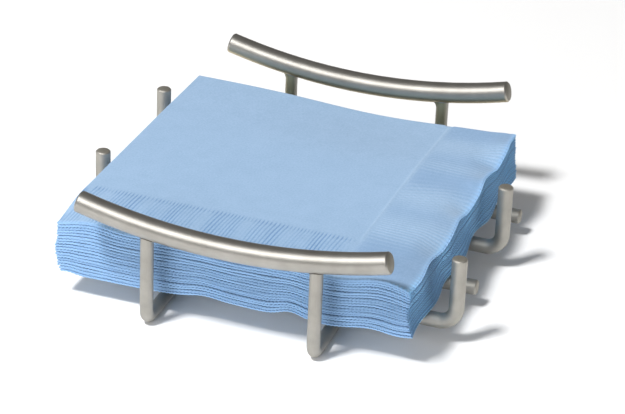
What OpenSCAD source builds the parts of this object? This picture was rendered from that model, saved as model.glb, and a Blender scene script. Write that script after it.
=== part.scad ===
// Flat napkin holder: two thick curved bars on two leg rods, four post rods
// lying across the legs, and a stack of square folded paper napkins.
//
// Frame: millimetres, +Z up. The origin is on the table under the middle of the
// holder. The bars run along X, the front bar is at -Y, the leg rods run along Y.

/* [Napkins] */
// Side of a napkin folded in quarters
napkin_side = 165; // [120:1:210]
// Thickness of one folded napkin, its four leaves lying loosely
napkin_t = 1.4; // [0.8:0.1:3]
// Number of napkins in the holder
napkin_count = 18; // [3:1:30]
// Space between one napkin and the next
napkin_gap = 0.04; // [0.02:0.01:0.3]
// How far the napkins lie to the left of the holder's middle
napkin_left = 2.5; // [0:0.5:4]
// Rounding of the napkins' corners, seen from above
napkin_corner_r = 1.2; // [0.5:0.1:6]
// Height of the parting between the two halves of a folded napkin
parting_t = 0.12; // [0.05:0.01:0.3]
// How far the parting reaches in from the three open sides
parting_depth = 5; // [1:0.5:20]

/* [Thick bars] */
// Diameter of the two thick bars
bar_d = 10; // [8:0.5:14]
// Length of a thick bar, straight from end to end
bar_len = 143; // [110:1:200]
// How far the middle of a thick bar hangs below its ends
bar_sag = 9.3; // [4:0.1:14]
// Height of the middle of a thick bar's centreline above the table
bar_mid_z = 45.8; // [36:0.1:80]
// Room between the napkins and each thick bar
bar_room = 5.5; // [2:0.5:15]

/* [Leg rods] */
// Diameter of the two leg rods
leg_d = 6; // [4:0.5:7.5]
// Distance between the two leg rods
leg_pitch = 78; // [40:1:96]
// Centreline radius of a leg rod's bends
leg_bend_r = 4.5; // [4:0.5:12]

/* [Post rods] */
// Diameter of the four post rods
post_d = 7; // [4:0.5:10]
// Height of the posts' tops above the table
post_top_z = 42.3; // [32:0.1:80]
// Centreline radius of a post rod's bend
post_bend_r = 7.5; // [7:0.5:12]
// Room between the napkins and each post
post_room = 5.5; // [2:0.5:15]
// How far the straight end of a post rod stands out past the napkins
stub_past = 9; // [2:0.5:20]
// Distance from the middle of the holder to each inner post rod
inner_rod_y = 19.8; // [12:0.1:30]
// Distance from the middle of the holder to each outer post rod
outer_rod_y = 54.6; // [42:0.1:66]

/* [Finish] */
// Chamfer around the cut ends of the thick bars
bar_chamfer = 0.7; // [0.2:0.1:1.5]
// Chamfer around the cut ends of the post rods
post_chamfer = 0.6; // [0.2:0.1:1.2]

/* [Welds] */
// Thickness of the weld metal where two rods meet
weld_t = 0.3; // [0.15:0.05:0.6]
// Diameter of a weld spot where a post rod crosses a leg rod
spot_d = 3.6; // [2:0.1:4]
// How far the weld under a thick bar stands out around the leg rod's top
bead_out = 0.3; // [0.1:0.1:0.8]

/* [Clearances] */
// Space between the lowest napkin and the rods under it
rest_gap = 0.3; // [0.1:0.05:0.6]

/* [Hidden] */
// Segments of a full circle: around a rod, and along the long arc of a thick bar
ROUND_FN = 72;
ARC_FN = 1440;
$fn = ROUND_FN;
// Turns that lay +Z along +X, and along -Y
ALONG_X = [0, 90, 0];
ALONG_Y = [90, 0, 0];

bar_y = napkin_side / 2 + bar_room + bar_d / 2;
post_x = napkin_side / 2 + post_room + post_d / 2;
stub_x = napkin_side / 2 + stub_past;
leg_x = leg_pitch / 2;

// Each thick bar is an arc of this radius, which passes through its middle and its two ends.
bar_r = (pow(bar_len / 2, 2) + pow(bar_sag, 2)) / (2 * bar_sag);
bar_arc_z = bar_mid_z + bar_r;
bar_half_angle = asin(bar_len / 2 / bar_r);

// The leg rods meet the thick bars where each bar has turned through this angle.
bar_leg_angle = asin(leg_x / bar_r);
bar_leg_z = bar_arc_z - bar_r * cos(bar_leg_angle);

leg_z = leg_d / 2;
post_z = leg_d + weld_t + post_d / 2;

napkin_z0 = post_z + post_d / 2 + rest_gap;
napkin_pitch = napkin_t + napkin_gap;

// The napkins are numbered from the lowest up, and the highest one is top_napkin.
function napkin_name(i) =
    i == napkin_count - 1 ? "top_napkin" : str("napkin_", i < 9 ? "0" : "", i + 1);

METAL_NODES = [
    "front_bar", "back_bar", "left_leg_rod", "right_leg_rod",
    "front_right_post_rod", "front_left_post_rod",
    "back_right_post_rod", "back_left_post_rod",
    "bar_welds", "crossing_welds"
];

// A straight rod along +Z, both ends cut square.
module rod(d, len) {
    cylinder(d = d, h = len);
}

// A rod bent through a quarter circle: it starts at the origin along +X and ends along +Z.
module quarter_bend(d, bend_r) {
    translate([0, 0, bend_r]) rotate(ALONG_Y)
        rotate_extrude(angle = 90, start = 270)
            translate([bend_r, 0]) circle(d = d);
}

// A ring that cuts a chamfer on the end of a rod: the rod comes from below and ends at z = 0.
module chamfer_ring(d, chamfer) {
    rotate_extrude()
        polygon([
            [d / 2 - chamfer, 0],
            [d / 2 + 1, -chamfer - 1],
            [d / 2 + 1, 1],
            [d / 2 - chamfer, 1]
        ]);
}

// The round arc of one thick bar, its ends cut square, about the arc's own centre.
module bar_arc() {
    rotate(ALONG_Y)
        rotate_extrude(angle = 2 * bar_half_angle, start = 270 - bar_half_angle, $fn = ARC_FN)
            translate([bar_r, 0]) circle(d = bar_d, $fn = ROUND_FN);
}

// One thick bar, hanging in a shallow arc at the given y, with its ends chamfered.
module thick_bar(y) {
    translate([0, y, bar_arc_z])
        difference() {
            bar_arc();
            for (side = [-1, 1])
                rotate([0, -side * bar_half_angle, 0])
                    translate([0, 0, -bar_r])
                        rotate([0, side * 90, 0])
                            chamfer_ring(bar_d, bar_chamfer);
        }
}

// Moves its children onto the centreline of the thick bar at y, where it crosses a
// leg rod: side is 1 for the right leg rod and -1 for the left one.
module on_bar_over_leg(side, y) {
    translate([0, y, bar_arc_z])
        rotate([0, -side * bar_leg_angle, 0])
            translate([0, 0, -bar_r])
                children();
}

// A short straight stretch of a thick bar, or of a skin around it, about the origin.
module bar_stretch(d) {
    translate([-leg_d, 0, 0]) rotate(ALONG_X) rod(d, 2 * leg_d);
}

// One leg rod: down from the front bar, under the napkins and up to the back bar.
// Both tops are hollowed to seat against the round underside of the bar.
module leg_rod(side) {
    run = 2 * (bar_y - leg_bend_r);
    upright = bar_leg_z - leg_z - leg_bend_r;
    difference() {
        translate([side * leg_x, 0, leg_z]) {
            translate([0, run / 2, 0]) rotate(ALONG_Y) rod(leg_d, run);
            for (end = [-1, 1])
                rotate([0, 0, end * 90]) {
                    translate([run / 2, 0, 0]) quarter_bend(leg_d, leg_bend_r);
                    translate([bar_y, 0, leg_bend_r]) rod(leg_d, upright);
                }
        }
        for (y = [-bar_y, bar_y])
            on_bar_over_leg(side, y) bar_stretch(bar_d + 2 * weld_t);
    }
}

// One post rod with its post on the +X side and its straight end on the -X side.
module right_post_rod(y) {
    run = post_x - post_bend_r + stub_x;
    upright = post_top_z - post_z - post_bend_r;
    translate([0, y, post_z])
        difference() {
            union() {
                translate([-stub_x, 0, 0]) rotate(ALONG_X) rod(post_d, run);
                translate([post_x - post_bend_r, 0, 0]) quarter_bend(post_d, post_bend_r);
                translate([post_x, 0, post_bend_r]) rod(post_d, upright);
            }
            translate([-stub_x, 0, 0]) rotate(-ALONG_X) chamfer_ring(post_d, post_chamfer);
            translate([post_x, 0, post_top_z - post_z]) chamfer_ring(post_d, post_chamfer);
        }
}

// The same rod turned half round, so that its post is on the -X side.
module left_post_rod(y) {
    rotate([0, 0, 180]) right_post_rod(-y);
}

// The weld between each leg rod's top and the bar: a thin saddle that follows the bar.
module bar_weld_saddles() {
    for (side = [-1, 1], y = [-bar_y, bar_y])
        difference() {
            intersection() {
                translate([side * leg_x, y, bar_leg_z - bar_d])
                    rod(leg_d + 2 * bead_out, bar_d);
                on_bar_over_leg(side, y) bar_stretch(bar_d + 2 * weld_t);
            }
            on_bar_over_leg(side, y) bar_stretch(bar_d);
        }
}

// The weld spot between each post rod and each leg rod that it lies on.
module crossing_weld_spots() {
    for (x = [-leg_x, leg_x], y = [-outer_rod_y, -inner_rod_y, inner_rod_y, outer_rod_y])
        difference() {
            translate([x, y, leg_z]) rod(spot_d, post_z - leg_z);
            translate([x, y + spot_d, leg_z]) rotate(ALONG_Y) rod(leg_d, 2 * spot_d);
            translate([x - spot_d, y, post_z]) rotate(ALONG_X) rod(post_d, 2 * spot_d);
        }
}

// One napkin folded in quarters: its last fold is the round edge on the left,
// and its two halves part a little along the other three sides.
module napkin(i) {
    half = napkin_side / 2;
    inner = half - napkin_corner_r;
    fold_x = -half + napkin_t / 2;
    slot_z = (napkin_t - parting_t) / 2;
    slot_len = napkin_side - parting_depth;
    translate([-napkin_left, 0, napkin_z0 + i * napkin_pitch])
        difference() {
            union() {
                translate([fold_x, -half, 0]) cube([inner - fold_x, napkin_side, napkin_t]);
                translate([inner - 1, -inner, 0])
                    cube([napkin_corner_r + 1, 2 * inner, napkin_t]);
                for (y = [-inner, inner])
                    translate([inner, y, 0]) cylinder(r = napkin_corner_r, h = napkin_t);
                translate([fold_x, half, napkin_t / 2]) rotate(ALONG_Y)
                    rod(napkin_t, napkin_side);
            }
            for (y = [-half - 1, half - parting_depth])
                translate([half + 1 - slot_len, y, slot_z])
                    cube([slot_len, parting_depth + 1, parting_t]);
            translate([half - parting_depth, -half - 1, slot_z])
                cube([parting_depth + 1, napkin_side + 2, parting_t]);
        }
}

module front_bar() {
    color("#aeaba2") thick_bar(-bar_y);
}

module back_bar() {
    color("#aeaba2") thick_bar(bar_y);
}

module left_leg_rod() {
    color("#a5a299") leg_rod(-1);
}

module right_leg_rod() {
    color("#a5a299") leg_rod(1);
}

module front_right_post_rod() {
    color("#b4b1a8") right_post_rod(-outer_rod_y);
}

module front_left_post_rod() {
    color("#b4b1a8") left_post_rod(-inner_rod_y);
}

module back_right_post_rod() {
    color("#b4b1a8") right_post_rod(inner_rod_y);
}

module back_left_post_rod() {
    color("#b4b1a8") left_post_rod(outer_rod_y);
}

module bar_welds() {
    color("#8f8c84") bar_weld_saddles();
}

module crossing_welds() {
    color("#8f8c84") crossing_weld_spots();
}

module paper_napkin(i) {
    color(i % 2 == 0 ? "#9fc0e2" : "#93b6da") napkin(i);
}

front_bar();
back_bar();
left_leg_rod();
right_leg_rod();
front_right_post_rod();
front_left_post_rod();
back_right_post_rod();
back_left_post_rod();
bar_welds();
crossing_welds();
for (i = [0:napkin_count - 1])
    paper_napkin(i);
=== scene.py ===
"""A tabletop napkin holder of welded satin metal rods, with a stack of folded paper napkins.

The sections follow the holder as it is put together: leg rods, thick bars, post rods, welds,
napkins, and then the table, the lights and the camera. Lengths are in metres.
"""

import math

import bpy
import numpy as np
from mathutils import Matrix, Vector
from mathutils.geometry import delaunay_2d_cdt


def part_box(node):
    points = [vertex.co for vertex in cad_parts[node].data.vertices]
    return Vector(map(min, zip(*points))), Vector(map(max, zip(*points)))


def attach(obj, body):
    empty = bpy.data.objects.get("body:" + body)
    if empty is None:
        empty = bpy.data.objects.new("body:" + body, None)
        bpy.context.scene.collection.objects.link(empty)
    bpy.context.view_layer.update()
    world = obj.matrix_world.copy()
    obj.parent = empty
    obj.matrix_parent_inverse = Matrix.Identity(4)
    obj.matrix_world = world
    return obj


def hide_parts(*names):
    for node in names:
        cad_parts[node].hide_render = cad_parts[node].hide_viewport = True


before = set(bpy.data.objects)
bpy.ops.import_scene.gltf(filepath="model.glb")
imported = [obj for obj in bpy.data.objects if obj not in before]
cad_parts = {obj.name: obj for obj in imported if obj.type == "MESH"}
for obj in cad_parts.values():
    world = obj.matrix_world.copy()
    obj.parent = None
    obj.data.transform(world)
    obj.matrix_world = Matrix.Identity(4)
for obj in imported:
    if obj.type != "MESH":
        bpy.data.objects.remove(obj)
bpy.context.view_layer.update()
MM = 0.001

# ---------------------------------------------------------------------------------------
# Leg rods. Two plain round rods, each bent up at both ends: they lie on the table from
# front to back and carry everything else. The metal is drawn wire with a satin nickel
# finish, so its fine drawing lines run along each rod and through its bends.
# ---------------------------------------------------------------------------------------
leg_low, leg_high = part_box("left_leg_rod")
leg_diameter = leg_high[0] - leg_low[0]
leg_reach = leg_high[1] - leg_diameter / 2
leg_half_pitch = -(leg_low[0] + leg_high[0]) / 2
leg_bend = 4.5 * MM
leg_top_z = 46.2 * MM
rod_sides = 64
bend_steps = 18
# An edge of a rod sharper than this, in degrees, is not smoothed over.
rod_corner = 38
# How deep the drawing lines are, and how far back behind the stack the metal gets its
# painted olive reflection and the welds their lighter tone.
line_depth = 0.02 * MM
behind_stack = (60 * MM, 62 * MM)


def set_sockets(tree, node, inputs):
    """Gives each input of a node a constant, or links it to another node's output."""
    for socket, value in inputs.items():
        if isinstance(value, bpy.types.NodeSocket):
            tree.links.new(value, node.inputs[socket])
        else:
            node.inputs[socket].default_value = value


def add_node(tree, kind, label="", inputs=None):
    """A new shader node; its label says what it is for."""
    node = tree.nodes.new(kind)
    node.label = label
    set_sockets(tree, node, inputs or {})
    return node


def new_material(name, constants):
    """A new material with the given shader constants, and its node tree and shader."""
    material = bpy.data.materials.new(name)
    material.use_nodes = True
    tree = material.node_tree
    shader = tree.nodes["Principled BSDF"]
    set_sockets(tree, shader, constants)
    return material, tree, shader


def stored(tree, name):
    """The node that reads an attribute stored on the mesh."""
    node = add_node(tree, "ShaderNodeAttribute", name)
    node.attribute_name = name
    return node


def noise(tree, label, place, scale, detail, roughness=0.5):
    """A noise value between 0 and 1 at each place."""
    inputs = {"Vector": place, "Scale": scale, "Detail": detail, "Roughness": roughness}
    return add_node(tree, "ShaderNodeTexNoise", label, inputs).outputs["Fac"]


def spread(tree, label, value, low, high, new_low=0.0, new_high=1.0):
    """Maps a value from the range low to high onto a new range."""
    inputs = {"Value": value, "From Min": low, "From Max": high,
              "To Min": new_low, "To Max": new_high}
    return add_node(tree, "ShaderNodeMapRange", label, inputs).outputs["Result"]


def ramp(tree, label, value, stops):
    """The colour at a value along a ramp of (position, colour) stops."""
    node = add_node(tree, "ShaderNodeValToRGB", label, {"Fac": value})
    elements = node.color_ramp.elements
    while len(elements) < len(stops):
        elements.new(0.5)
    for element, (position, color) in zip(elements, stops, strict=True):
        element.position = position
        element.color = (*color, 1.0)
    return node.outputs["Color"]


def mixed(tree, label, share, first, second, blend="MIX"):
    """Two colours mixed by a share. A Mix node has its colours at inputs 6 and 7."""
    node = add_node(tree, "ShaderNodeMix", label)
    node.data_type = "RGBA"
    node.blend_type = blend
    set_sockets(tree, node, {0: share, 6: first, 7: second})
    return node.outputs[2]


def bumped(tree, height, strength, distance):
    """Surface normals that follow a height."""
    inputs = {"Height": height, "Strength": strength, "Distance": distance}
    return add_node(tree, "ShaderNodeBump", "", inputs).outputs["Normal"]


def with_painted_reflection(tree, tone, painted_reflection, side):
    """Behind the stack, the surfaces facing the given side get a painted olive reflection."""
    surface = add_node(tree, "ShaderNodeNewGeometry")
    facing = add_node(
        tree, "ShaderNodeVectorMath", "facing", {0: surface.outputs["Normal"], 1: side})
    facing.operation = "DOT_PRODUCT"
    place = add_node(tree, "ShaderNodeSeparateXYZ", "", {"Vector": surface.outputs["Position"]})
    both = add_node(tree, "ShaderNodeMath", "facing and behind", {
        0: spread(tree, "facing", facing.outputs["Value"], 0.3, 0.9),
        1: spread(tree, "behind", place.outputs["Y"], *behind_stack)})
    both.operation = "MULTIPLY"
    return mixed(tree, "painted olive reflection", both.outputs["Value"], tone, (*painted_reflection, 1.0))


def satin_metal(name, dark, light, rough_low, rough_high, painted_reflection=None, side=None):
    """Satin nickel finish: soft cloudy tone, and fine drawing lines along the unbent rod."""
    metal, tree, shader = new_material(name, {"Metallic": 1.0, "Specular IOR Level": 0.5})
    unbent = stored(tree, "unbent").outputs["Vector"]
    drawn_out = add_node(tree, "ShaderNodeMapping", "drawn out along the rod", {
        "Vector": unbent, "Scale": (1.0, 1.0, 0.035)})
    lines = noise(tree, "drawing lines", drawn_out.outputs["Vector"], 5200.0, 3.0, 0.6)
    clouds = noise(tree, "handling marks", unbent, 120.0, 4.0)
    tone = ramp(tree, "tone", clouds, [(0.32, dark), (0.68, light)])
    # Behind the stack, the side of the metal that faces the given way gets a painted olive
    # reflection.
    if painted_reflection:
        tone = with_painted_reflection(tree, tone, painted_reflection, side)
    set_sockets(tree, shader, {
        "Base Color": tone,
        "Roughness": spread(
            tree, "roughness along the lines", lines, 0.3, 0.7, rough_low, rough_high),
        "Normal": bumped(tree, lines, 0.35, line_depth),
    })
    return metal


def rod_along_path():
    """Geometry Nodes tree: sweeps a round section along a chain of points, with capped ends."""
    tree = bpy.data.node_groups.new("rod_along_path", "GeometryNodeTree")
    sockets = tree.interface
    sockets.new_socket("Path", in_out="INPUT", socket_type="NodeSocketGeometry")
    for name, kind in (
        ("Diameter", "NodeSocketFloat"),
        ("Sides", "NodeSocketInt"),
        ("Metal", "NodeSocketMaterial"),
    ):
        sockets.new_socket(name, in_out="INPUT", socket_type=kind)
    sockets.new_socket("Rod", in_out="OUTPUT", socket_type="NodeSocketGeometry")
    nodes, links = tree.nodes, tree.links
    given = nodes.new("NodeGroupInput")
    made = nodes.new("NodeGroupOutput")
    curve = nodes.new("GeometryNodeMeshToCurve")
    girth = nodes.new("GeometryNodeInputNamedAttribute")
    girth.data_type = "FLOAT"
    girth.inputs["Name"].default_value = "girth"
    widen = nodes.new("GeometryNodeSetCurveRadius")
    length = nodes.new("GeometryNodeSplineParameter")
    keep_length = nodes.new("GeometryNodeCaptureAttribute")
    keep_length.capture_items.new("FLOAT", "Length")
    half = nodes.new("ShaderNodeMath")
    half.operation = "MULTIPLY"
    half.inputs[1].default_value = 0.5
    section = nodes.new("GeometryNodeCurvePrimitiveCircle")
    place = nodes.new("GeometryNodeInputPosition")
    keep_place = nodes.new("GeometryNodeCaptureAttribute")
    keep_place.capture_items.new("VECTOR", "Place")
    sweep = nodes.new("GeometryNodeCurveToMesh")
    sweep.inputs["Fill Caps"].default_value = True
    split = nodes.new("ShaderNodeSeparateXYZ")
    join = nodes.new("ShaderNodeCombineXYZ")
    store = nodes.new("GeometryNodeStoreNamedAttribute")
    store.data_type = "FLOAT_VECTOR"
    store.domain = "POINT"
    store.inputs["Name"].default_value = "unbent"
    realize = nodes.new("GeometryNodeRealizeInstances")
    paint = nodes.new("GeometryNodeSetMaterial")
    links.new(given.outputs["Path"], curve.inputs["Mesh"])
    links.new(curve.outputs["Curve"], widen.inputs["Curve"])
    links.new(girth.outputs["Attribute"], widen.inputs["Radius"])
    links.new(widen.outputs["Curve"], keep_length.inputs["Geometry"])
    links.new(length.outputs["Length"], keep_length.inputs["Length"])
    links.new(given.outputs["Diameter"], half.inputs[0])
    links.new(half.outputs["Value"], section.inputs["Radius"])
    links.new(given.outputs["Sides"], section.inputs["Resolution"])
    links.new(section.outputs["Curve"], keep_place.inputs["Geometry"])
    links.new(place.outputs["Position"], keep_place.inputs["Place"])
    links.new(keep_length.outputs["Geometry"], sweep.inputs["Curve"])
    links.new(keep_place.outputs["Geometry"], sweep.inputs["Profile Curve"])
    if "Scale" in sweep.inputs:
        links.new(girth.outputs["Attribute"], sweep.inputs["Scale"])
    links.new(keep_place.outputs["Place"], split.inputs["Vector"])
    links.new(split.outputs["X"], join.inputs["X"])
    links.new(split.outputs["Y"], join.inputs["Y"])
    links.new(keep_length.outputs["Length"], join.inputs["Z"])
    links.new(sweep.outputs["Mesh"], store.inputs["Geometry"])
    links.new(join.outputs["Vector"], store.inputs["Value"])
    links.new(store.outputs["Geometry"], realize.inputs["Geometry"])
    links.new(realize.outputs["Geometry"], paint.inputs["Geometry"])
    links.new(given.outputs["Metal"], paint.inputs["Material"])
    links.new(paint.outputs["Geometry"], made.inputs["Rod"])
    return tree


def set_inputs(modifier, values):
    """Sets a Geometry Nodes modifier's inputs, by each socket's identifier."""
    for item in modifier.node_group.interface.items_tree:
        if item.item_type == "SOCKET" and item.in_out == "INPUT" and item.name in values:
            modifier[item.identifier] = values[item.name]


def plain_mesh(maker, name):
    """The evaluated shape of maker as a plain mesh object; maker is removed."""
    bpy.context.view_layer.update()
    shown = maker.evaluated_get(bpy.context.evaluated_depsgraph_get())
    mesh = bpy.data.meshes.new_from_object(shown)
    bpy.data.objects.remove(maker)
    mesh.name = name
    piece = bpy.data.objects.new(name, mesh)
    bpy.context.scene.collection.objects.link(piece)
    return piece


def smooth_with_corners(piece, corner_degrees):
    """Smooth shading, kept sharp where two faces meet at more than the given angle."""
    mesh = piece.data
    mesh.shade_smooth()
    mesh.set_sharp_from_angle(angle=math.radians(corner_degrees))


def bend_points(centre, start, turn, radius, steps):
    """Points along a quarter bend from direction start towards direction turn."""
    return [
        centre
        + radius * (math.sin(math.pi / 2 * i / steps) * start
                    - math.cos(math.pi / 2 * i / steps) * turn)
        for i in range(steps + 1)
    ]


def cut_end(points, girths, radius, chamfer, at_start):
    """Adds a small rounded chamfer to one end of a rod's path."""
    end, inner = (points[0], points[1]) if at_start else (points[-1], points[-2])
    back = (inner - end).normalized()
    # How far back from the end, as a share of the chamfer, and the girth of the rod there.
    rounding = [(0.0, 1 - chamfer / radius), (0.12, 1 - 0.82 * chamfer / radius),
                (0.9, 1 - 0.06 * chamfer / radius), (1.15, 1.0)]
    ring = [(end + back * (share * chamfer), girth) for share, girth in rounding]
    if at_start:
        points[:1] = [place for place, _ in ring]
        girths[:1] = [girth for _, girth in ring]
    else:
        points[-1:] = [place for place, _ in reversed(ring)]
        girths[-1:] = [girth for _, girth in reversed(ring)]


def rod_piece(name, points, girths, diameter, metal, end_metal):
    """One rod of the holder, swept along its path and made a plain mesh."""
    mesh = bpy.data.meshes.new(name + "_path")
    mesh.from_pydata(points, [(i, i + 1) for i in range(len(points) - 1)], [])
    mesh.attributes.new("girth", "FLOAT", "POINT").data.foreach_set("value", girths)
    maker = bpy.data.objects.new(name + "_maker", mesh)
    bpy.context.scene.collection.objects.link(maker)
    modifier = maker.modifiers.new("sweep", "NODES")
    modifier.node_group = rod_tree
    set_inputs(modifier, {"Diameter": diameter, "Sides": rod_sides, "Metal": metal})
    piece = plain_mesh(maker, name)
    piece.data.materials.append(end_metal)
    for face in piece.data.polygons:
        if len(face.vertices) == rod_sides:
            face.material_index = 1
    smooth_with_corners(piece, rod_corner)
    return piece


rod_tree = rod_along_path()
cut_end_metal = satin_metal(
    "cut_end_metal", (0.40, 0.38, 0.335), (0.50, 0.475, 0.42), 0.68, 0.80)
# Behind the stack, the leg rods' front faces get a painted olive reflection.
leg_metal = satin_metal(
    "satin_leg_metal", (0.41, 0.395, 0.36), (0.49, 0.47, 0.43), 0.54, 0.64,
    painted_reflection=(0.40, 0.38, 0.255), side=(0, -1, 0))
for side, node in ((-1, "left_leg_rod"), (1, "right_leg_rod")):
    x = side * leg_half_pitch
    foot_z = leg_diameter / 2
    forward, up = Vector((0, -1, 0)), Vector((0, 0, 1))
    front = bend_points(
        Vector((x, -leg_reach + leg_bend, foot_z + leg_bend)), forward, up, leg_bend, bend_steps)
    back = bend_points(
        Vector((x, leg_reach - leg_bend, foot_z + leg_bend)), -forward, up, leg_bend, bend_steps)
    path = [Vector((x, -leg_reach, leg_top_z)), *reversed(front), *back,
            Vector((x, leg_reach, leg_top_z))]
    piece = rod_piece(
        node + "_drawn", path, [1.0] * len(path), leg_diameter, leg_metal, cut_end_metal)
    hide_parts(node)
    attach(piece, "holder")

# ---------------------------------------------------------------------------------------
# Thick bars. Two solid round bars, bent to a shallow arc that dips in the middle, with
# their ends cut square and lightly chamfered. They lie across the tops of the leg rods.
# ---------------------------------------------------------------------------------------
bar_low, bar_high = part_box("front_bar")
bar_diameter = bar_high[1] - bar_low[1]
bar_y = -(bar_low[1] + bar_high[1]) / 2
bar_mid_z = bar_low[2] + bar_diameter / 2
bar_length = 143 * MM
bar_sag = 9.3 * MM
bar_chamfer = 0.7 * MM
bar_steps = 96
bar_radius = ((bar_length / 2) ** 2 + bar_sag**2) / (2 * bar_sag)
bar_half_angle = math.asin(bar_length / 2 / bar_radius)
# Behind the stack, the bars' lower front faces get a painted olive reflection.
bar_metal = satin_metal(
    "satin_bar_metal", (0.37, 0.355, 0.325), (0.43, 0.415, 0.385), 0.38, 0.46,
    painted_reflection=(0.56, 0.475, 0.31), side=(0, -0.5, -0.87))
# The bars' cut ends get a darker copy of the cut-end metal: painted shade on their
# sideways-facing end faces.
shaded_bar_end_metal = satin_metal(
    "shaded_bar_end_metal", (0.25, 0.235, 0.20), (0.34, 0.32, 0.275), 0.50, 0.62)
for node, y in (("front_bar", -bar_y), ("back_bar", bar_y)):
    turns = [bar_half_angle * (2 * i / bar_steps - 1) for i in range(bar_steps + 1)]
    path = [Vector((bar_radius * math.sin(turn), y,
                    bar_mid_z + bar_radius * (1 - math.cos(turn)))) for turn in turns]
    girths = [1.0] * len(path)
    cut_end(path, girths, bar_diameter / 2, bar_chamfer, True)
    cut_end(path, girths, bar_diameter / 2, bar_chamfer, False)
    piece = rod_piece(node + "_bent", path, girths, bar_diameter, bar_metal, shaded_bar_end_metal)
    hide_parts(node)
    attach(piece, "holder")

# ---------------------------------------------------------------------------------------
# Post rods. Four round rods lie across the leg rods. Each turns up at one side as a post
# and ends at the other side as a short straight stub, and the sides alternate.
# ---------------------------------------------------------------------------------------
post_bend = 7.5 * MM
post_chamfer = 0.6 * MM
post_metal = satin_metal(
    "satin_post_metal", (0.43, 0.415, 0.375), (0.51, 0.49, 0.445), 0.52, 0.62)
for node, side in (("front_right_post_rod", 1), ("back_right_post_rod", 1),
                   ("front_left_post_rod", -1), ("back_left_post_rod", -1)):
    post_low, post_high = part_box(node)
    post_diameter = post_high[1] - post_low[1]
    y = (post_low[1] + post_high[1]) / 2
    lying_z = post_low[2] + post_diameter / 2
    post_x = (post_high[0] if side > 0 else -post_low[0]) - post_diameter / 2
    stub_x = -post_low[0] if side > 0 else post_high[0]
    along, up = Vector((side, 0, 0)), Vector((0, 0, 1))
    corner = bend_points(
        Vector((side * (post_x - post_bend), y, lying_z + post_bend)),
        along, up, post_bend, bend_steps)
    path = [Vector((-side * stub_x, y, lying_z)), *corner,
            Vector((side * post_x, y, post_high[2]))]
    girths = [1.0] * len(path)
    cut_end(path, girths, post_diameter / 2, post_chamfer, True)
    cut_end(path, girths, post_diameter / 2, post_chamfer, False)
    piece = rod_piece(node + "_bent", path, girths, post_diameter, post_metal, cut_end_metal)
    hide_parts(node)
    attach(piece, "holder")

# ---------------------------------------------------------------------------------------
# Welds. A thin seam joins each thick bar to the leg rods under it, with a smooth fillet round
# it at the back, and a spot joins each post rod to each leg rod that it crosses.
# ---------------------------------------------------------------------------------------
fillet_least = 0.40 * MM
fillet_most = 1.95 * MM
fillet_rise = 1.9
fillet_sunk = 0.05 * MM
fillet_into_bar = 0.08 * MM
fillet_steps = 7
fillet_sides = 48
fillet_corner = 60
core_share = 0.6
core_rise = 1.2 * MM


def dull_metal():
    """Fused metal: near black in front, and the tone of the plain metal behind the stack."""
    metal, tree, shader = new_material("dull_weld_metal", {"Metallic": 1.0, "Roughness": 0.55})
    place = add_node(tree, "ShaderNodeTexCoord").outputs["Object"]
    grain = noise(tree, "grain", place, 900.0, 4.0)
    dark = ramp(tree, "tone", grain, [(0.3, (0.035, 0.027, 0.02)), (0.7, (0.10, 0.085, 0.07))])
    split = add_node(tree, "ShaderNodeSeparateXYZ", "", {"Vector": place})
    lighter_behind = spread(tree, "lighter at the back", split.outputs["Y"], *behind_stack)
    set_sockets(tree, shader, {
        "Base Color": mixed(tree, "", lighter_behind, dark, (0.44, 0.42, 0.38, 1))})
    return metal


def bar_underside(x, off_axis):
    """Height of a thick bar's underside at x, that far to the front or back of its axis."""
    axis_z = bar_mid_z + bar_radius - math.sqrt(bar_radius**2 - x**2)
    return axis_z - math.sqrt((bar_diameter / 2) ** 2 - off_axis**2)


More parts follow.
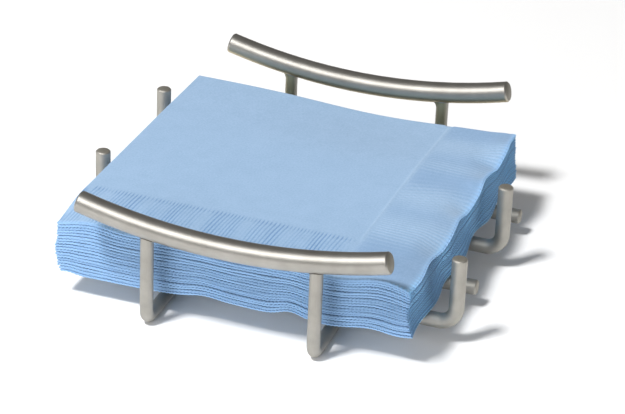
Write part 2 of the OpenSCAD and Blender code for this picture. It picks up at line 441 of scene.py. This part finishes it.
def weld_fillet(name, x, y):
    """A smooth concave fillet from a leg rod's top out to the bar, thicker on the left."""
    points, faces = [], []
    leg_r = leg_diameter / 2 - fillet_sunk
    bar_r = bar_diameter / 2
    for i in range(fillet_sides):
        bearing = 2 * math.pi * i / fillet_sides
        across, along = math.cos(bearing), math.sin(bearing)
        size = fillet_least + (fillet_most - fillet_least) * (0.5 - 0.5 * across) ** 1.5
        low = bar_underside(x + leg_r * across, leg_r * along) - fillet_rise * size
        # In front and behind, the fillet ends where the bar's round side turns up.
        out_r = min(leg_r + size, math.sqrt(leg_r**2 + (bar_r * 0.8) ** 2))
        reach_y = min(abs(out_r * along), bar_r * 0.86) * math.copysign(1, along)
        high = bar_underside(x + out_r * across, reach_y) + fillet_into_bar
        for k in range(fillet_steps + 1):
            angle = math.pi / 2 * k / fillet_steps
            share_out, share_up = 1 - math.cos(angle), math.sin(angle)
            radius = leg_r + (out_r - leg_r) * share_out
            off = radius * along + (reach_y - out_r * along) * share_out
            points.append((x + radius * across, y + off, low + (high - low) * share_up))
    rows = fillet_steps + 1
    for i in range(fillet_sides):
        here, there = i * rows, (i + 1) % fillet_sides * rows
        for k in range(fillet_steps):
            faces.append((here + k, there + k, there + k + 1, here + k + 1))
    # A ring inside the leg and the bar closes the fillet out of sight.
    core = len(points)
    core_r = leg_diameter / 2 * core_share
    for i in range(fillet_sides):
        bearing = 2 * math.pi * i / fillet_sides
        points.append((x + core_r * math.cos(bearing), y + core_r * math.sin(bearing),
                       bar_underside(x, 0) + core_rise))
    for i in range(fillet_sides):
        j = (i + 1) % fillet_sides
        faces.append((i * rows + fillet_steps, j * rows + fillet_steps, core + j, core + i))
        faces.append((j * rows, i * rows, core + i, core + j))
    mesh = bpy.data.meshes.new(name)
    mesh.from_pydata(points, [], faces)
    mesh.attributes.new("unbent", "FLOAT_VECTOR", "POINT").data.foreach_set(
        "vector", [value for point in points for value in point])
    mesh.materials.append(leg_metal)
    piece = bpy.data.objects.new(name, mesh)
    bpy.context.scene.collection.objects.link(piece)
    smooth_with_corners(piece, fillet_corner)
    return piece


weld_metal = dull_metal()
for node in ("bar_welds", "crossing_welds"):
    for material_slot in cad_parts[node].material_slots:
        material_slot.material = weld_metal
for side, name in ((-1, "back_left_weld_fillet"), (1, "back_right_weld_fillet")):
    piece = weld_fillet(name, side * leg_half_pitch, bar_y)
    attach(piece, "holder")

# ---------------------------------------------------------------------------------------
# Napkins. Luncheon napkins of soft blue tissue, 330 mm square and folded in quarters: the
# first fold is at the back, the last fold is on the left, and the four loose leaves end at
# the front and on the right, where a border of fine lines is pressed into the sheet.
# ---------------------------------------------------------------------------------------
napkin_flat = 330 * MM
napkin_quarter = napkin_flat / 2
leaf_thickness = 0.2 * MM
outer_leaf = 0.53 * MM
inner_leaf = 0.18 * MM
napkin_names = [f"napkin_{i:02d}" for i in range(1, 18)] + ["top_napkin"]
napkin_low, napkin_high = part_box("top_napkin")
napkin_left_x = napkin_low[0]
napkin_back_y = napkin_high[1]
stack_low_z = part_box("napkin_01")[0][2]
stack_high_z = napkin_high[2]
# The border pressed into the top leaf, and the spacing of its lines in front and on the right.
border_width = 32.5 * MM
front_pitch = 1.75 * MM
right_pitch = 2.5 * MM
border_depth = 0.13 * MM
border_lean = math.tan(math.radians(4))
# How the leaves are pinched together and crimped near their cut edges, and how far in.
pinch_reach = 9 * MM
front_pinch = 0.78
right_pinch = 0.64
edge_crimp = 0.14 * MM
crimp_reach = 3 * MM
rim_reach = 2.6 * MM
# How the napkins wave, swell and shift in the stack, and its twist in degrees.
wave_reach = 14 * MM
side_reach = 11 * MM
side_swell = 1.1 * MM
side_shift = 0.9 * MM
pushed_left = 2.0 * MM
stack_twist = -0.83
paper_corner = 60
# Heights of the stack's underside and top in its middle, in millimetres.
under_middle = 13.45
top_middle = 39.2


def even(low, high, step):
    """Evenly spaced values from low to high, no further apart than step."""
    return np.linspace(low, high, max(2, math.ceil((high - low) / step) + 1))


def flat_sheet(with_border):
    """The unfolded napkin as (s, t) points and triangles, finest along its cut edges.

    s runs across the last fold and t across the first one, and both are 0 at the middle.
    """
    q = napkin_quarter
    rings = []
    for from_edge, step in ((0, 0.42), (0.6, 0.42), (1.5, 0.42), (2.6, 0.8)):
        row = q - from_edge * MM
        walk = even(-row, row, step * MM)
        rings += [np.stack([walk, np.full_like(walk, side * row)], 1) for side in (-1, 1)]
        inside = walk[1:-1]
        rings += [np.stack([np.full_like(inside, side * row), inside], 1) for side in (-1, 1)]
    # Rows of points: close together at the folds, wide apart in the middle of each leaf, and
    # closer again towards its edges.
    near_fold = [0.0, 0.14 * MM, 0.28 * MM, 0.56 * MM, 0.84 * MM, 2.2 * MM]
    fold_rows = sorted({-v for v in near_fold} | set(near_fold))
    far = even(5.5 * MM, q - 5.2 * MM, 2.6 * MM)
    wide = [v for k, v in enumerate(far) if k % 2 == 0 or v > q - 32.0 * MM]
    lines = np.array(sorted([*fold_rows, *wide, *(-v for v in wide)]))
    s, t = np.meshgrid(lines, lines, indexing="ij")
    points = np.concatenate([*rings, np.stack([s.ravel(), t.ravel()], 1)])
    if with_border:
        points = np.concatenate([points[~in_border(points)], *border_points()])
    # Points that fall together, to a thousandth of a millimetre, are kept once.
    grid = 0.001
    points = np.unique(np.round(points / (grid * MM)).astype(int), axis=0) * grid
    made = delaunay_2d_cdt([Vector(p) for p in points.tolist()], [], [], 0, 1e-7)
    return np.array([tuple(p) for p in made[0]]) * MM, np.array(made[2])


def in_border(points):
    """Where the pressed border of the top leaf lies, on the unfolded sheet."""
    s, t = points[:, 0], -points[:, 1]
    far = napkin_quarter - 2.0 * MM
    near = napkin_quarter - border_width - 2.6 * MM
    top = (s > 1.5 * MM) & (t > 1.5 * MM) & (s < far) & (t < far)
    return top & ((s > near) | (t > near))


def border_points():
    """Points that follow the pressed lines of the top leaf's border, several to each line."""
    far = napkin_quarter - 2.6 * MM
    near = napkin_quarter - border_width - 2 * MM
    across = even(near, far, 3.2 * MM)
    front, right = [], []
    for a in across:
        walk = np.arange(2.2 * MM, near, front_pitch / 8)
        front.append(np.stack([walk + border_lean * (far - a), np.full_like(walk, -a)], 1))
        walk = np.arange(2.2 * MM, far, right_pitch / 6)
        right.append(np.stack([np.full_like(walk, a), -walk], 1))
    for past in (-1.0, -0.5, 0.0, 0.5, 1.0):
        walk = np.arange(2.2 * MM, near, 1.2 * MM)
        ridge = napkin_quarter - border_width - 0.9 * MM + past * MM
        right.append(np.stack([np.full_like(walk, ridge), -walk], 1))
    return front + right


def dip(x, centre, width):
    """A smooth bump of height 1 about centre."""
    return np.exp(-(((x - centre) / width) ** 2))


def ease(x):
    """0 below 0, 1 above 1, and smooth between."""
    x = np.clip(x, 0, 1)
    return x * x * (3 - 2 * x)


def waves(along, *bumps):
    """The sum of smooth bumps, each given as its height, its place and its half width."""
    return sum(height * dip(along, place, width) for height, place, width in bumps)


def stack_surface(x, y):
    """Heights of the underside and of the top of the whole stack at x, y, in millimetres.

    The rods under the stack hold it up, its front overhang sags, its edges wave, and its
    right edge lifts where the posts turn up.
    """
    # The underside: lower in front and higher on the right, with waves along both edges.
    under_front = 11.1 + 0.012 * (x + 46) + waves(
        x, (2.4, -16, 11), (2.9, 24, 7), (2.2, 60, 11), (1.2, 81, 7), (1.2, -82, 6), (0.6, 4, 12))
    under_right = 15.2 + waves(y, (2.4, 15, 13), (0.8, -38, 11), (-0.8, -82, 14))
    front = ease((-50 - y) / 33)
    right = ease((x - 52) / 30)
    under = (under_middle + (under_front - under_middle) * front
             + (under_right - under_middle) * right * (1 - 0.7 * front))
    # The top: its front and right edges wave, and its back dips between the back legs.
    top_front = 37.0 + waves(
        x, (1.7, -70, 9), (-1.2, -87, 6), (0.9, -30, 12), (0.8, 12, 16), (3.6, 66, 13),
        (-1.2, 82, 6))
    top_right = 37.6 + waves(
        y, (1.5, 84, 9), (3.6, 64, 12), (-1.6, 47, 5), (2.8, 24, 10), (-2.6, 1, 8),
        (-2.8, -39, 10))
    top_back = 38.8 + waves(x, (-3.0, 12, 44))
    front = ease((-55 - y) / 28)
    right = ease((x - 66) / 15)
    back = ease((y - 20) / 64)
    top = (top_middle + (top_front - top_middle) * front
           + (top_right - top_middle) * right * (1 - front)
           + (top_back - top_middle) * back * (1 - right))
    return under, top


def pressed_lines(x, y):
    """The pressed border on a top leaf, at napkin coordinates, in metres.

    x is measured from the right edge and y from the front edge. Returns the height of the
    lines, from 0 to 1, and their painted shading, from -1 where a painted highlight is brightest
    to 1 where painted shade is darkest.
    """
    inner = border_width
    turn = 2 * math.pi
    # The front band: fine grooves in groups that fan out a little, deepest at their inner ends.
    group = (0.58 + 0.30 * np.sin(turn * x / (23 * MM) + 0.6)
             + 0.22 * np.sin(turn * x / (9.7 * MM)))
    fan = 2.0 * np.sin(turn * x / (31 * MM) + 1.0) * (y / inner)
    inner_end = dip(y, inner - 1.3 * MM, 1.5 * MM)
    line = 0.5 + 0.5 * np.cos(turn * (x + border_lean * y) / front_pitch + fan)
    front = (ease((inner - y) / (0.8 * MM)) * ease(y / MM)
             * ease((x - inner - 2 * MM) / (2 * MM)))
    groove = line**3.6 * front * np.clip(group + 0.45 * inner_end, 0.12, 1)
    # The right band: wider raised lines, in separate groups that each lean their own way.
    along = y / MM
    group = waves(along, (1, 140, 9), (0.5, 118, 6), (1, 82, 10), (1, 51, 11))
    lean = -0.10 - 0.20 * np.sin(turn * (along - 62) / 76)
    line = 0.5 + 0.5 * np.cos(turn * (y - lean * x) / right_pitch)
    right = ease((inner - x) / (1.5 * MM)) * ease(x / MM)
    raised = line**1.4 * right * np.clip(0.05 + group, 0, 1)
    # A smooth ridge parts the right band from the plain middle.
    ridge = dip(x, inner + 0.9 * MM, 0.55 * MM) * ease((y - inner) / (4 * MM))
    height = front * (1 - groove) + raised + 1.5 * ridge
    # The tone is painted shade in the grooves and painted highlight on the raised lines and the
    # ridge.
    tone = groove + right * (0.30 - 0.12 * np.clip(group, 0, 1)) - 1.1 * raised - 0.9 * ridge
    return height, np.clip(tone, -1, 1)


def uneven_leaves(draw):
    """How far each of the four leaves ends from its place; every other one lies back."""
    return draw.uniform(-0.09, 0.09, 4) * MM + np.array([-0.1, 0.1, -0.1, 0.1]) * MM


def folded(flat, draw):
    """Folds the flat sheet in quarters, and tells which points are on its top leaf.

    Returns x and y, the height over the napkin's own underside, and a mark for the top leaf.
    """
    s, t = flat[:, 0], flat[:, 1]
    fold_r = (outer_leaf - inner_leaf) / 2
    middle = (outer_leaf + inner_leaf) / 2
    quarter_turn = math.pi / 2
    turn = np.clip(t / fold_r, -quarter_turn, quarter_turn)
    beyond = np.maximum(np.abs(t) - quarter_turn * fold_r, 0)
    from_back = fold_r * (1 - np.cos(turn)) + beyond
    height = middle - fold_r * np.sin(turn)
    turn = np.clip(s / height, -quarter_turn, quarter_turn)
    beyond = np.maximum(np.abs(s) - quarter_turn * height, 0)
    from_left = outer_leaf - height * np.cos(turn) + beyond
    lift = height * np.sin(turn)
    leaf = (s > 0) * 2 + (t > 0) * 1
    from_left = from_left + uneven_leaves(draw)[leaf] * ease(from_left / napkin_quarter)
    from_back = from_back + uneven_leaves(draw)[leaf] * ease(from_back / napkin_quarter)
    x = napkin_left_x + leaf_thickness / 2 + from_left
    y = napkin_back_y - leaf_thickness / 2 - from_back
    return x, y, lift, (s > 0) & (t < 0)


def lay_in_stack(flat, number, draw):
    """Places one folded napkin: its turn, its waves, its pinched and crimped edges.

    Returns its points, the painted shading of its pressed lines and how near each point
    is to a cut edge, from 0 to 1.
    """
    x, y, lift, top_leaf = folded(flat, draw)
    share = (number + 0.5) / len(napkin_names)
    to_right = napkin_left_x + napkin_quarter - x
    to_front = y - (napkin_back_y - napkin_quarter)
    nearest = np.minimum(to_right, to_front)
    # The pressed border holds the four leaves together where they end.
    pinch = np.minimum(1 - (1 - front_pinch) * ease(1 - to_front / pinch_reach),
                       1 - (1 - right_pinch) * ease(1 - to_right / pinch_reach))
    lift = lift * pinch
    # Each napkin lies a little turned and shifted, more so towards the top.
    turn = math.radians(stack_twist * share + 0.1 + draw.uniform(-0.10, 0.10))
    pivot_x, pivot_y = 0.0, napkin_back_y
    dx, dy = x - pivot_x, y - pivot_y
    x = pivot_x + dx * math.cos(turn) - dy * math.sin(turn) + draw.uniform(-0.35, 0.35) * MM
    # The lower and middle layers are pushed a little to the left at the front.
    push = pushed_left * math.sin(math.pi * share**0.6)
    x = x - push * (napkin_back_y - y) / napkin_quarter
    y = pivot_y + dx * math.sin(turn) + dy * math.cos(turn) + draw.uniform(-0.3, 0.3) * MM
    under, top = stack_surface(x / MM, y / MM)
    thickness = (top - under) * MM
    middle = under * MM + thickness * share
    scale = thickness / (stack_high_z - stack_low_z)
    z = middle + lift * scale
    # Along the right side the middle layers swell and sink between the posts.
    beside = np.exp(-to_right / side_reach)
    swell = np.sin(2 * math.pi * (y + 9 * MM) / (37 * MM)) + 0.5 * np.sin(y / (3.4 * MM))
    z = z + side_swell * beside * swell * 4 * share * (1 - share)
    sway = np.sin(2 * math.pi * (y - 4 * MM) / (43 * MM))
    x = x + side_shift * beside * sway * (2 * share - 1)
    # Loose waves of each napkin's own, only near its cut edges.
    phase = draw.uniform(0, 2 * math.pi, 4)
    near_front = np.exp(-to_front / wave_reach)
    near_right = np.exp(-to_right / wave_reach)
    own = (near_front * (0.07 * np.sin(x / (5.1 * MM) + phase[0])
                         + 0.05 * np.sin(x / (2.7 * MM) + phase[1]))
           + near_right * (0.07 * np.sin(y / (5.7 * MM) + phase[2])
                           + 0.05 * np.sin(y / (3.1 * MM) + phase[3])))
    z = z + own * MM
    # Fine crimps at the very edge, out of step from one napkin to the next.
    crimp_phase = 0.4 * number + draw.uniform(-0.6, 0.6)
    crimp_front = np.sin(2 * math.pi * x / front_pitch + crimp_phase)
    crimp_right = np.sin(2 * math.pi * y / right_pitch + crimp_phase)
    z = z + edge_crimp * (ease(1 - to_front / crimp_reach) * crimp_front
                          + ease(1 - to_right / crimp_reach) * crimp_right)
    tone = np.zeros_like(z)
    if number == len(napkin_names) - 1:
        height, pressed_shading = pressed_lines(to_right, to_front)
        z = z + np.where(top_leaf, border_depth * height, 0)
        tone = np.where(top_leaf, pressed_shading, 0)
    return np.stack([x, y, z], 1), tone, ease(1 - nearest / rim_reach)


def thick_sheet(points, triangles, thickness):
    """Gives an open sheet its thickness: both faces, and a rim along its cut edge."""
    a, b, c = (points[triangles[:, k]] for k in range(3))
    normal = np.cross(b - a, c - a)
    around = np.zeros_like(points)
    for k in range(3):
        np.add.at(around, triangles[:, k], normal)
    around /= np.maximum(np.linalg.norm(around, axis=1), 1e-12)[:, None]
    both = np.concatenate([points + around * thickness / 2, points - around * thickness / 2])
    count = len(points)
    sides = np.concatenate([triangles[:, [0, 1]], triangles[:, [1, 2]], triangles[:, [2, 0]]])
    key = np.sort(sides, axis=1)
    _, first, uses = np.unique(key, axis=0, return_index=True, return_counts=True)
    rim = sides[first[uses == 1]]
    walls = np.concatenate([
        np.stack([rim[:, 1], rim[:, 0], rim[:, 0] + count], 1),
        np.stack([rim[:, 1], rim[:, 0] + count, rim[:, 1] + count], 1)])
    return both, np.concatenate([triangles, triangles[:, ::-1] + count, walls])


def tissue_paper():
    """Soft blue tissue: fine felted grain, faint cloudiness, and no shine."""
    paper, tree, shader = new_material("blue_tissue", {
        "Roughness": 0.92, "Specular IOR Level": 0.12,
        "Sheen Weight": 0.25, "Sheen Roughness": 0.6})
    place = add_node(tree, "ShaderNodeTexCoord").outputs["Object"]
    fibres = noise(tree, "fibres", place, 1100.0, 5.0, 0.65)
    clouds = noise(tree, "cloudiness", place, 140.0, 3.0)
    # A Mix node's plain values are its inputs 2 and 3.
    grain = add_node(tree, "ShaderNodeMix", "mostly fibres", {0: 0.22, 2: fibres, 3: clouds})
    tone = ramp(tree, "tone", grain.outputs[0], [
        (0.38, (0.265, 0.40, 0.57)), (0.62, (0.33, 0.47, 0.65))])
    # The pressed paper is a little darker, with painted shade in the grooves and painted
    # highlights on the raised lines and the ridge.
    pressed = stored(tree, "pressed_shading").outputs["Fac"]
    shade = ramp(tree, "pressed lines", spread(tree, "", pressed, -1.0, 1.0), [
        (0.0, (1.0, 1.0, 1.0)), (0.5, (0.86, 0.905, 0.94)), (1.0, (0.22, 0.43, 0.66))])
    tone = mixed(tree, "pressed lines", 1.0, tone, shade, "MULTIPLY")
    # Near the cut edges the colour is deeper, a painted shade that stands in for light bouncing
    # between the layers, and greener where the edges face right, to paint the right side's cyan
    # shade.
    surface = add_node(tree, "ShaderNodeNewGeometry")
    split = add_node(tree, "ShaderNodeSeparateXYZ", "", {"Vector": surface.outputs["Normal"]})
    painted_edge_shade = mixed(
        tree, "rim", spread(tree, "faces right", split.outputs["X"], 0.2, 0.7),
        (0.25, 0.425, 0.665, 1), (0.24, 0.60, 0.94, 1))
    at_edge = stored(tree, "cut_edge").outputs["Fac"]
    set_sockets(tree, shader, {
        "Base Color": mixed(tree, "cut edge", at_edge, tone, painted_edge_shade),
        "Normal": bumped(tree, fibres, 0.5, 0.06 * MM),
    })
    return paper


napkin_paper = tissue_paper()
plain_flat = flat_sheet(False)
border_flat = flat_sheet(True)
draw = np.random.default_rng(20)
for number, node in enumerate(napkin_names):
    on_top = node == "top_napkin"
    flat, triangles = border_flat if on_top else plain_flat
    places, pressed_shading, cut_edge = lay_in_stack(flat, number, draw)
    points, faces = thick_sheet(places, triangles, leaf_thickness)
    mesh = bpy.data.meshes.new("paper_" + node)
    mesh.from_pydata(points.tolist(), [], faces.tolist())
    for name, values in (("pressed_shading", pressed_shading), ("cut_edge", cut_edge)):
        mesh.attributes.new(name, "FLOAT", "POINT").data.foreach_set(
            "value", np.tile(values, 2))
    mesh.materials.append(napkin_paper)
    mesh.validate()
    piece = bpy.data.objects.new("paper_" + node, mesh)
    bpy.context.scene.collection.objects.link(piece)
    smooth_with_corners(piece, paper_corner)
    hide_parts(node)
    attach(piece, "lifted_napkin" if on_top else "napkin_stack")

# ---------------------------------------------------------------------------------------
# Table. A plain white surface that runs out of sight on every side, matt enough to show only
# the holder's shadows and no reflections.
# ---------------------------------------------------------------------------------------
table_half = 4.0
table_mesh = bpy.data.meshes.new("table_top")
table_mesh.from_pydata(
    [(-table_half, -table_half, 0), (table_half, -table_half, 0),
     (table_half, table_half, 0), (-table_half, table_half, 0)], [], [(0, 1, 2, 3)])
table = bpy.data.objects.new("table_top", table_mesh)
bpy.context.scene.collection.objects.link(table)
table_white, _, _ = new_material("table_white", {
    "Base Color": (0.92, 0.92, 0.92, 1), "Roughness": 0.8, "Specular IOR Level": 0.05})
table_mesh.materials.append(table_white)

# ---------------------------------------------------------------------------------------
# Lights. One bright lamp high at the front left throws the soft shadows back to the right.
# Two low cards fill in the front and the right side, a long box that only the metal
# mirrors gives it its pale streaks, and a dim room lights the rest.
# ---------------------------------------------------------------------------------------


def lamp(name, bearing, height, distance, width, depth, power):
    """An area light at a bearing from +X and a height angle, in degrees, aimed at the stack.

    Its distance, width and depth are in metres, and its power in watts.
    """
    light = bpy.data.lights.new(name, "AREA")
    light.shape = "RECTANGLE"
    light.size = width
    light.size_y = depth
    light.energy = power
    lamp_object = bpy.data.objects.new(name, light)
    flat_reach = distance * math.cos(math.radians(height))
    aim = Vector((0, 0, 20 * MM))
    lamp_object.location = aim + Vector((
        flat_reach * math.cos(math.radians(bearing)),
        flat_reach * math.sin(math.radians(bearing)),
        distance * math.sin(math.radians(height))))
    lamp_object.rotation_euler = (aim - lamp_object.location).to_track_quat("-Z", "Y").to_euler()
    bpy.context.scene.collection.objects.link(lamp_object)
    return lamp_object


for settings in (("key_lamp", -124, 60, 3.0, 0.50, 0.50, 98.0),
                 ("front_card", -108, 8, 0.9, 0.6, 0.6, 6.2),
                 ("right_card", -15, 8, 0.9, 0.6, 0.6, 1.7)):
    lamp(*settings).visible_glossy = False
lamp("long_box", -114, 48, 1.4, 1.9, 0.76, 20.5).visible_diffuse = False
room = bpy.data.worlds.new("room")
room.use_nodes = True
room.node_tree.nodes["Background"].inputs["Color"].default_value = (1.0, 0.985, 0.96, 1)
room.node_tree.nodes["Background"].inputs["Strength"].default_value = 0.22
bpy.context.scene.world = room

# ---------------------------------------------------------------------------------------
# Camera. A long lens from the front right, looking down on the holder and rolled a little.
# The bearing of its view is measured from +X, and its pitch from the level.
# ---------------------------------------------------------------------------------------
camera_place = Vector((0.33428, -0.99988, 0.57197))
bearing = math.radians(108.212)
pitch = math.radians(-27.531)
roll = math.radians(2.440)
camera_data = bpy.data.cameras.new("camera")
camera_data.lens = 147.5
camera_data.sensor_width = 36
camera_data.clip_end = 20
camera = bpy.data.objects.new("camera", camera_data)
look = Vector((math.cos(bearing) * math.cos(pitch), math.sin(bearing) * math.cos(pitch),
               math.sin(pitch)))
level = Vector((math.sin(bearing), -math.cos(bearing), 0))
right = level * math.cos(roll) + level.cross(look) * math.sin(roll)
turned = Matrix((right, right.cross(look), -look)).transposed()
camera.matrix_world = Matrix.Translation(camera_place) @ turned.to_4x4()
bpy.context.scene.collection.objects.link(camera)
bpy.context.scene.camera = camera
bpy.context.scene.view_settings.view_transform = "Standard"
